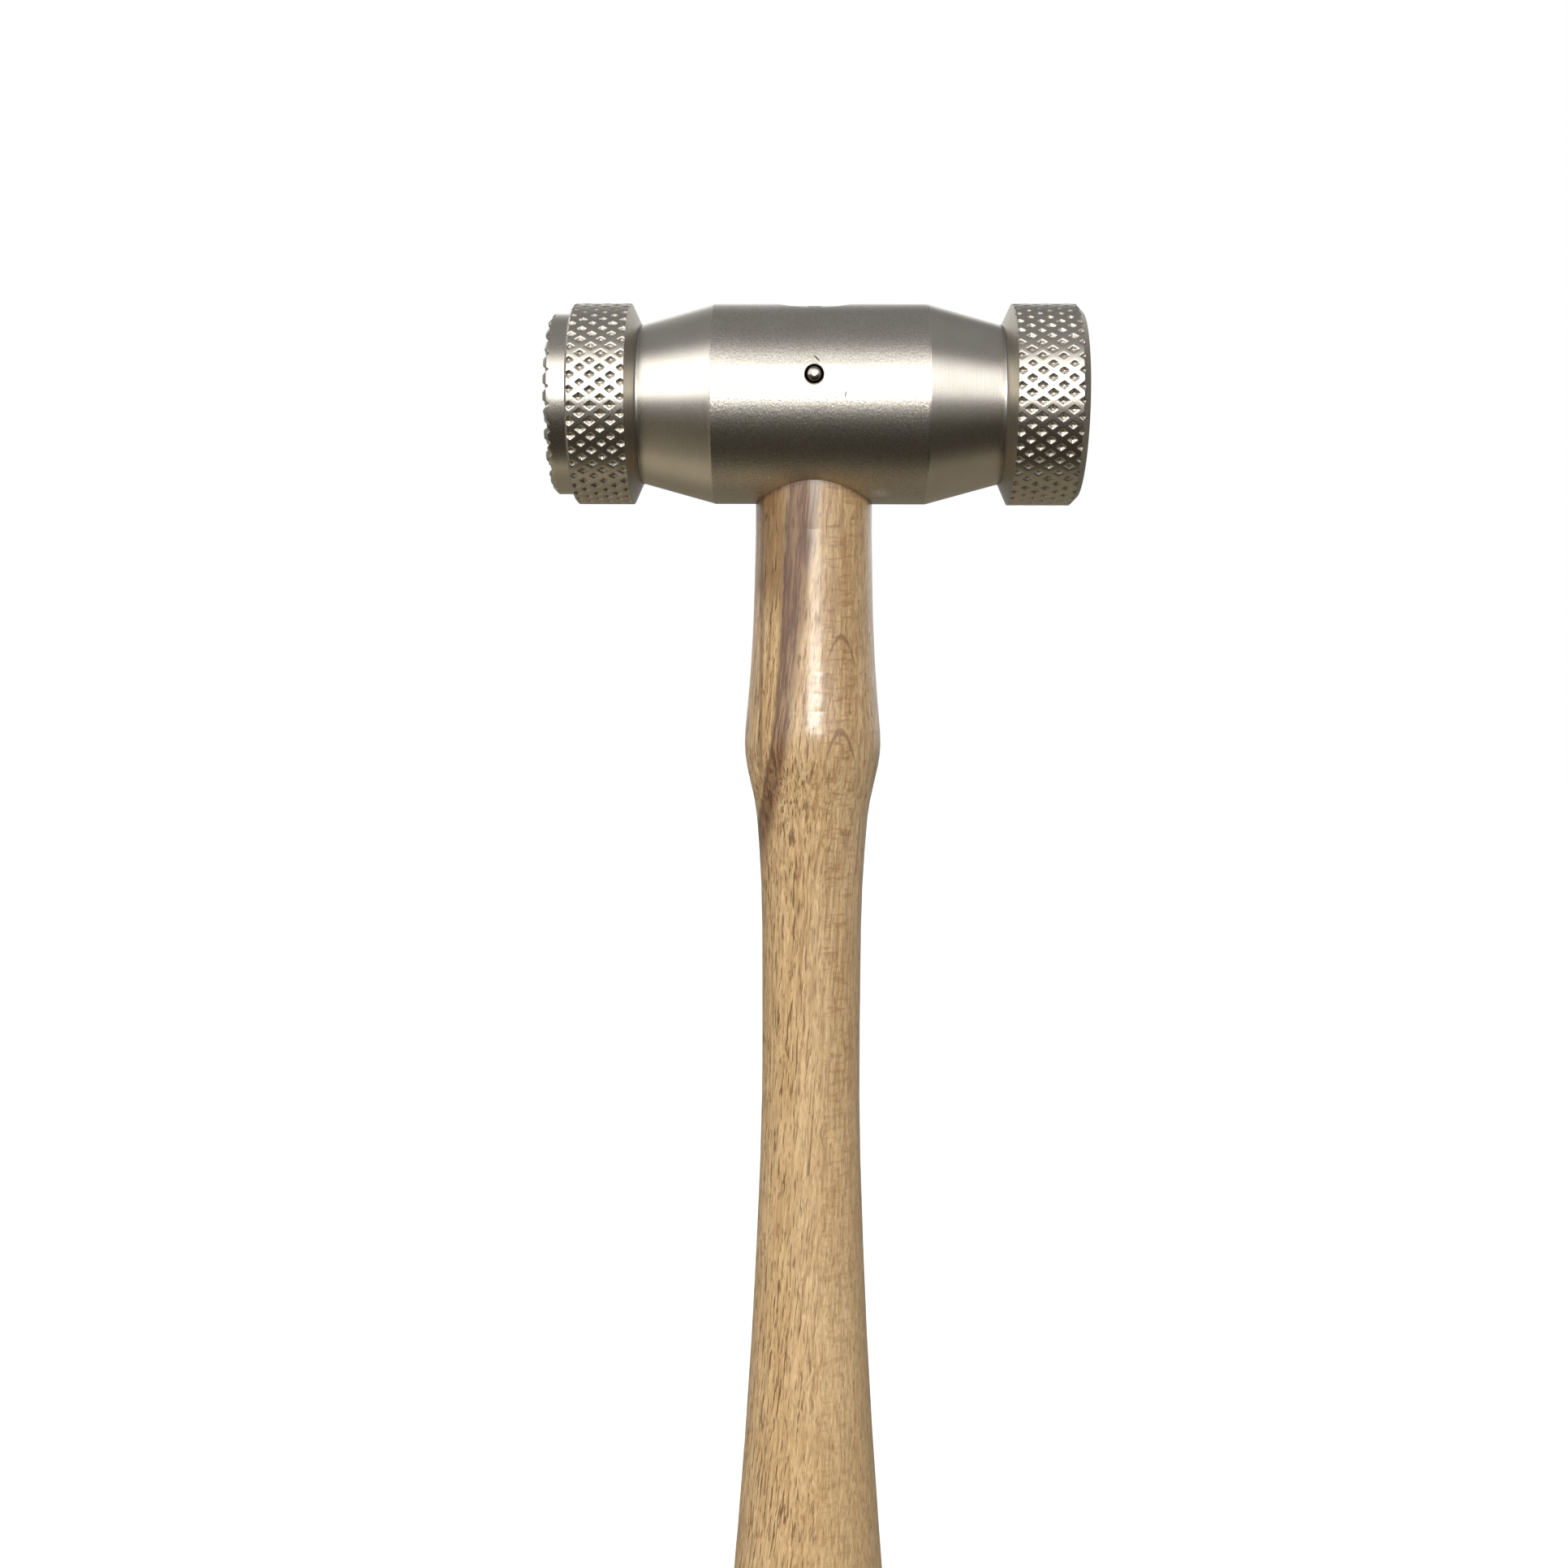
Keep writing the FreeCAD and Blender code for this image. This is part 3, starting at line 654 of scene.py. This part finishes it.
def make_cap_metal(name, band_start, band_end):
    """Satin nickel of a face: bright lattice, pits darkened by painted shade and dirt, and turned lines
    behind and in front.
    """
    material, graph = new_material(name)
    x, y, up, distance = around_head(graph)
    place = graph.vector(x, y, up)
    half = abs(band_end - band_start) / 2
    offset = graph.away(x, (band_start + band_end) / 2)
    in_band = graph.span(offset, half - 0.02, half + 0.02, 1.0, 0.0)
    pits = graph.times(graph.span(distance, CAP_RADIUS - 0.22, CAP_RADIUS - 0.03, 1.0, 0.0), in_band)
    lines = turned_lines(graph, x, y, up, distance, 9.0)
    grain = graph.noise(place, 4.0, 2.0, 0.6)
    clouds = graph.noise(place, 0.5, 2.0, 0.5)
    base = graph.mix(clouds, *BAND_NICKEL)
    # Painted shade, with some dirt, darkens the pit hollows.
    base = graph.mix(graph.times(pits, 0.25), base, PIT_SHADE_AND_DIRT)
    base = graph.mix(in_band, graph.mix(lines, *TURNED_NICKEL), base)
    duller_outside = graph.span(in_band, 0.0, 1.0, 0.14, 0.0)
    rough = graph.total(0.22, graph.times(grain, 0.1), graph.times(pits, 0.08), duller_outside)
    height = graph.between(in_band, lines, graph.times(grain, 0.5))
    finish_material(graph, base, rough, graph.bump(height, 0.012), 1.0)
    return material


def make_rim_metal(name):
    """Satin nickel of the toothed rim: turned side, brighter tips, and painted shade darkening the
    grooves.
    """
    material, graph = new_material(name)
    x, y, up, distance = around_head(graph)
    depth = graph.span(x, TEXTURE_LOW.x, TEXTURE_LOW.x + TOOTH_HEIGHT)
    inside = graph.span(distance, RIM_RADIUS - 0.3, RIM_RADIUS - 0.05, 1.0, 0.0)
    lines = turned_lines(graph, x, y, up, distance, 9.0)
    grain = graph.noise(graph.vector(x, y, up), 4.0, 2.0, 0.6)
    base = graph.mix(grain, *RIM_NICKEL)
    # Painted shade darkens the grooves between the teeth, most toward their floors.
    base = graph.mix(graph.times(depth, inside, 0.6), base, GROOVE_SHADE)
    rough = graph.total(0.2, graph.times(grain, 0.12))
    finish_material(graph, base, rough, graph.bump(lines, 0.01), 1.0)
    return material


def make_steel(name, low_rough, bright):
    """Plain steel with faint scratches, for the studs, the wedge and the washers."""
    material, graph = new_material(name)
    x, y, z = graph.position()
    clouds = graph.noise(graph.vector(x, y, z), 0.8, 3.0, 0.6)
    scratch = graph.noise(graph.vector(graph.times(x, 9.0), y, z), 1.0, 2.0, 0.6)
    darker = colour(bright - 22, bright - 26, bright - 32)
    base = graph.mix(clouds, darker, colour(bright, bright - 3, bright - 8))
    rough = graph.total(low_rough, graph.times(scratch, 0.14))
    finish_material(graph, base, rough, graph.bump(scratch, 0.006), 1.0)
    return material


def make_pin_metal(name):
    """Polished steel of the cross pin, with a painted dark reflection round the edge of each domed end.
    """
    material, graph = new_material(name)
    x, y, z = graph.position()
    up = graph.minus(z, AXIS_HEIGHT)
    edge = graph.span(from_pin_axis(graph, x, up), PIN_RADIUS - 0.45, PIN_RADIUS - 0.12)
    clouds = graph.noise(graph.vector(x, y, z), 1.4, 2.0, 0.5)
    # The dark ring round each domed end is a painted reflection.
    base = graph.mix(edge, graph.mix(clouds, *PIN_STEEL), PIN_EDGE_REFLECTION)
    rough = graph.total(0.08, graph.times(clouds, 0.08))
    finish_material(graph, base, rough, None, 1.0)
    return material


def stretched_noise(graph, axes, scales, detail, roughness):
    """Noise with its own scale, in features per millimetre, along each axis."""
    parts = [graph.times(axis, scale) for axis, scale in zip(axes, scales)]
    return graph.noise(graph.vector(*parts), 1.0, detail, roughness)


def heart_stripe(graph, across, z):
    """The dark heart stripe, wide under the head and thinner down to the waist, and its left seam."""
    lean = graph.times(graph.minus(z, 218.5), -0.095)
    middle = graph.total(across, lean, graph.span(z, 174.0, 193.0, 2.3, 1.15))
    half = graph.total(graph.span(z, 168.0, 182.0, 0.1, 1.1), graph.span(z, 192.0, 222.0, 0.0, 0.8))
    left = graph.total(middle, half)
    right = graph.minus(middle, half)
    stripe = graph.times(graph.span(left, -0.2, 0.25), graph.span(right, -1.0, 0.5, 1.0, 0.0))
    seam = graph.window(left, -0.35, -0.05, 0.05, 0.4)
    upper = graph.span(z, 168.0, 180.0)
    return graph.times(stripe, upper), graph.times(seam, upper)


def growth_arch(graph, across, z, peak, thickness):
    """A thin brown arch where a growth layer comes to the surface, its crown at the height peak."""
    offset = graph.minus(across, 3.5)
    crown = graph.minus(peak, graph.times(offset, offset, 1.1))
    legs = graph.span(graph.math("ABSOLUTE", offset), 1.5, 2.1, 1.0, 0.0)
    return graph.times(graph.span(graph.away(z, crown), 0.2, thickness, 1.0, 0.0), legs)


def frayed_edge_shade(graph, x, y, z):
    """The ragged line where the wood meets the underside of the barrel: frayed wood darkened with
    painted contact shade.
    """
    inside = graph.minus(BARREL_RADIUS ** 2, graph.times(y, y))
    skin = graph.math("SQRT", graph.most(inside, 0.0))
    gap = graph.minus(graph.minus(AXIS_HEIGHT, skin), z)
    fray = stretched_noise(graph, (x, y, z), (2.5, 2.5, 1.0), 3.0, 0.7)
    return graph.span(graph.minus(gap, fray), -0.5, 0.2, 1.0, 0.0)


def make_beech(name):
    """Oiled beech: fibres, dark pores, ray flecks, a dark heart stripe and a frayed top edge darkened
    with painted shade.
    """
    material, graph = new_material(name)
    x, y, z = graph.position()

    # The grain wanders and leans a little from the handle's own axis.
    slow = graph.noise(graph.vector(x, y, graph.times(z, 0.15)), 0.2, 3.0, 0.5)
    ripple = graph.noise(graph.vector(x, y, graph.times(z, 0.5)), 0.6, 2.0, 0.5)
    wander = graph.total(graph.times(slow, 1.6), graph.times(ripple, 0.5), -1.05)
    across = graph.total(x, graph.times(graph.minus(z, 200.0), -0.07), wander)
    axes = (across, y, z)

    # Fibres all over, dark pores mostly on the left, ray flecks, and rungs up a column on the right.
    fibre = stretched_noise(graph, axes, (2.6, 2.6, 0.09), 4.0, 0.65)
    fine = stretched_noise(graph, axes, (8.0, 8.0, 0.6), 2.0, 0.6)
    streak = graph.span(stretched_noise(graph, axes, (4.2, 4.2, 0.25), 2.0, 0.55), 0.55, 0.65)
    streak = graph.times(streak, graph.span(x, -4.0, 4.5, 1.0, 0.3))
    ray = graph.span(stretched_noise(graph, axes, (5.0, 1.2, 0.85), 1.0, 0.4), 0.62, 0.7)
    cross = stretched_noise(graph, axes, (3.4, 3.4, 5.5), 3.0, 0.65)
    column = graph.window(x, 0.6, 2.2, 4.4, 6.0)
    rungs = graph.span(stretched_noise(graph, axes, (0.42, 0.42, 1.5), 3.0, 0.6), 0.5, 0.64)
    rungs = graph.times(rungs, column, graph.span(z, 120.0, 190.0, 0.45, 1.0))

    # The heart stripe and its seams, which fade away round the back, and the growth arches.
    front = graph.span(y, -2.5, 3.0, 1.0, 0.0)
    shade = graph.times(graph.span(x, -3.6, -0.6, 1.0, 0.0), graph.span(z, 203.0, 211.0), front)
    stripe, seam = heart_stripe(graph, graph.total(x, graph.times(ripple, 0.6), -0.3), z)
    stripe = graph.times(stripe, graph.span(fibre, 0.4, 0.62, 1.0, 0.42), front)
    edge_line = graph.times(graph.window(x, -6.9, -6.55, -6.45, -6.1), graph.span(z, 178.0, 190.0))
    seam = graph.times(graph.most(seam, graph.times(edge_line, 0.8)), front)
    arch = graph.most(growth_arch(graph, x, z, 203.2, 0.5), growth_arch(graph, x, z, 191.4, 0.7))

    fibre_depth = graph.times(
        graph.span(fibre, 0.33, 0.7, 0.0, 0.8),
        graph.span(z, 130.0, 190.0, 0.75, 1.0),
    )
    tint = graph.times(column, graph.span(z, 180.0, 196.0, 0.0, 0.16))
    tenon_end = graph.span(z, AXIS_HEIGHT + 10.0, AXIS_HEIGHT + 11.0)
    base = graph.mix(graph.span(slow, 0.3, 0.7), *BEECH)
    for share, tone in (
        (fibre_depth, BEECH_FIBRE),
        (graph.span(fine, 0.36, 0.7, 0.0, 0.36), BEECH_FINE),
        (graph.times(shade, 0.65), BEECH_SHADE),
        (tint, BEECH_COLUMN),
        (graph.times(rungs, 0.5), BEECH_RUNG),
        (graph.times(stripe, 0.96), BEECH_STRIPE),
        (graph.times(streak, 0.8), BEECH_STREAK),
        (graph.times(ray, 0.4), BEECH_RAY),
        (graph.times(arch, 0.62), BEECH_ARCH),
        (graph.times(seam, 0.6), BEECH_SEAM),
        # Painted contact shade along the frayed edge under the barrel.
        (graph.times(frayed_edge_shade(graph, x, y, z), 0.6), BEECH_EDGE_SHADE),
        (graph.times(tenon_end, 0.8), TENON_END),
    ):
        base = graph.mix(share, base, tone)

    rough = graph.total(0.34, graph.times(fibre, 0.16), graph.times(streak, 0.1))
    height = graph.total(
        graph.times(fine, 0.4),
        graph.times(fibre, 0.5),
        graph.times(streak, -0.5),
        graph.times(cross, 0.65),
    )
    finish_material(graph, base, rough, graph.bump(height, 0.075), 0.0, {
        "Coat Weight": graph.span(x, -4.5, 0.5, 0.3, 0.85),
        "Coat Roughness": 0.17,
        "Coat IOR": 1.8,
        "Specular IOR Level": 0.3,
    })
    return material


def dress(item, material):
    """Gives an object a single material."""
    item.data.materials.clear()
    item.data.materials.append(material)


# ---------------------------------------------------------------- stage

# The light round the hammer, as soft patches. Angles are degrees above the horizon, and degrees
# round to the viewer's right from straight in front of the hammer. The last number is the strength.
ROOM_LIGHT = 0.23
LIGHT_PATCHES = {
    "dark card low in front": ((-100.0, -70.0, -30.0, 0.0), (-62.0, -22.0, 52.0, 92.0), -0.19),
    "behind on the left": ((-5.0, 10.0, 40.0, 60.0), (-180.0, -179.0, -110.0, -90.0), 0.2),
    "low on the left": ((-95.0, -85.0, -50.0, -25.0), (-160.0, -120.0, -90.0, -60.0), 0.2),
    "hot spot in front": ((1.5, 9.5, 15.0, 26.0), (-14.0, -3.0, 10.0, 20.0), 9.0),
}

# Strengths of the light from overhead, from straight behind, and from the panel in front.
TOP_LIGHT = 0.045
BACK_LIGHT = 0.9
PANEL_LIGHT = 1.9


def front_panel(graph, height, side):
    """The wide bright panel in front: it flares at its foot, and its top and right edges lean."""
    flared = graph.total(height, graph.times(graph.math("ABSOLUTE", side), 0.13))
    lowered = graph.total(height, graph.times(graph.most(side, 0.0), 0.24))
    shifted = graph.minus(side, graph.times(graph.most(height, 0.0), 0.4))
    return graph.times(
        graph.window(flared, 1.5, 13.5, 89.0, 100.0),
        graph.span(lowered, 38.0, 64.0, 1.0, 0.0),
        graph.span(side, -82.0, -50.0),
        graph.span(shifted, 8.0, 64.0, 1.0, 0.0),
    )


def make_world():
    """Soft studio light: a wide bright panel in front, one hot spot, a dark card low in front."""
    world = bpy.data.worlds.new("studio")
    bpy.context.scene.world = world
    graph = Graph(world)
    way = graph.add("ShaderNodeTexCoord").outputs["Generated"]
    parts = graph.add("ShaderNodeSeparateXYZ", {0: way})
    x, y, z = parts.outputs[0], parts.outputs[1], parts.outputs[2]
    degrees = 180 / math.pi
    height = graph.times(graph.math("ARCSINE", z), degrees)
    side = graph.times(graph.math("ARCTAN2", x, graph.times(y, -1.0)), degrees)
    light = ROOM_LIGHT
    for heights, sides, strength in LIGHT_PATCHES.values():
        patch = graph.times(graph.window(height, *heights), graph.window(side, *sides))
        light = graph.total(light, graph.times(patch, strength))
    behind = graph.times(
        graph.window(height, -8.0, 8.0, 22.0, 40.0),
        graph.span(graph.math("ABSOLUTE", side), 112.0, 140.0),
    )
    light = graph.total(
        light,
        graph.times(graph.span(height, 50.0, 70.0), TOP_LIGHT),
        graph.times(behind, BACK_LIGHT),
        graph.times(front_panel(graph, height, side), PANEL_LIGHT),
    )

    # The camera itself sees plain white. Light from below is a little warm, as off a bench.
    seen = graph.add("ShaderNodeLightPath").outputs["Is Camera Ray"]
    warmth = graph.times(graph.span(height, -30.0, 0.0, 1.0, 0.0), graph.minus(1.0, seen))
    tint = graph.mix(warmth, (1.0, 1.0, 1.0, 1.0), (1.0, 0.88, 0.66, 1.0))
    strength = graph.between(seen, light, 1.0)
    shine = graph.add("ShaderNodeBackground", {"Color": tint, "Strength": strength})
    graph.add("ShaderNodeOutputWorld", {"Surface": shine.outputs[0]})


def make_floor():
    """A plain pale floor just under the butt of the handle."""
    radius = 2500.0
    drop = 0.05
    columns = 64
    turns = [2 * math.pi * step / columns for step in range(columns)]
    vertices = [(radius * math.cos(turn), radius * math.sin(turn), -drop) for turn in turns]
    floor = add_object("floor", vertices, [tuple(range(columns))])
    material, graph = new_material("pale_floor")
    surface = graph.add("ShaderNodeBsdfPrincipled", {
        "Base Color": (0.85, 0.85, 0.84, 1.0),
        "Roughness": 0.8,
        "Emission Color": (1.0, 1.0, 1.0, 1.0),
        "Emission Strength": 0.55,
    })
    graph.add("ShaderNodeOutputMaterial", {"Surface": surface.outputs[0]})
    dress(floor, material)
    floor.visible_glossy = False
    floor.visible_diffuse = False


def make_camera():
    """The camera: held a little below the head, close to the hammer, looking slightly down."""
    spot = Vector((0.98, -235.7, AXIS_HEIGHT - 28.6)) * MM
    yaw = math.radians(-1.13)
    tilt = math.radians(-4.78)
    roll = math.radians(0.24)
    forward = Vector((
        math.sin(yaw) * math.cos(tilt),
        math.cos(yaw) * math.cos(tilt),
        math.sin(tilt),
    ))
    level = forward.cross(Vector((0.0, 0.0, 1.0))).normalized()
    upright = level.cross(forward)
    right = level * math.cos(roll) + upright * math.sin(roll)
    up = upright * math.cos(roll) - level * math.sin(roll)
    camera = bpy.data.objects.new("camera", bpy.data.cameras.new("camera"))
    camera.data.lens = 42.0
    camera.data.sensor_width = 36.0
    camera.data.clip_start = 0.01
    camera.matrix_world = Matrix((
        (right.x, up.x, -forward.x, spot.x),
        (right.y, up.y, -forward.y, spot.y),
        (right.z, up.z, -forward.z, spot.z),
        (0.0, 0.0, 0.0, 1.0),
    ))
    bpy.context.scene.collection.objects.link(camera)
    bpy.context.scene.camera = camera


# ---------------------------------------------------------------- the hammer

def build_faces():
    """Both screw-on faces, with real knurls, teeth and threads, each riding on its CAD body."""
    texture_cap = make_texture_cap()
    texture_start = TEXTURE_SEAT - BACK_CHAMFER
    dress(texture_cap, make_cap_metal("texture_cap_nickel", texture_start, texture_start - BAND_LENGTH))
    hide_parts("texture_face")

    plain_cap = make_plain_cap()
    plain_end = PLAIN_SEAT + PLAIN_REACH - PLAIN_EDGE
    dress(plain_cap, make_cap_metal("plain_cap_nickel", PLAIN_SEAT + BACK_CHAMFER, plain_end))
    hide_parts("plain_face")

    teeth = make_teeth()
    dress(teeth, make_rim_metal("rim_nickel"))

    texture_stud = make_stud("texture_stud", TEXTURE_SEAT, -1)
    plain_stud = make_stud("plain_stud", PLAIN_SEAT, 1)
    steel = make_steel("stud_steel", 0.26, 205)
    for stud in (texture_stud, plain_stud):
        dress(stud, steel)

    riders = {
        "texture_face_body": (texture_cap, teeth, texture_stud),
        "plain_face_body": (plain_cap, plain_stud),
    }
    for body, pieces in riders.items():
        for piece in pieces:
            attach(piece, body)


def dress_nodes():
    """Finishes for the CAD nodes whose shape is already right."""
    dull = make_steel("plain_steel_dull", 0.3, 178)
    finishes = {
        "head_barrel": make_nickel("head_nickel"),
        "handle": make_beech("beech_wood"),
        "cross_pin": make_pin_metal("pin_steel"),
        "eye_wedge": dull,
        "texture_face_washer": dull,
        "plain_face_washer": dull,
    }
    for node, material in finishes.items():
        dress(frame["nodes"][node], material)


build_faces()
dress_nodes()
make_world()
make_floor()
make_camera()
bpy.context.scene.view_settings.view_transform = "Standard"
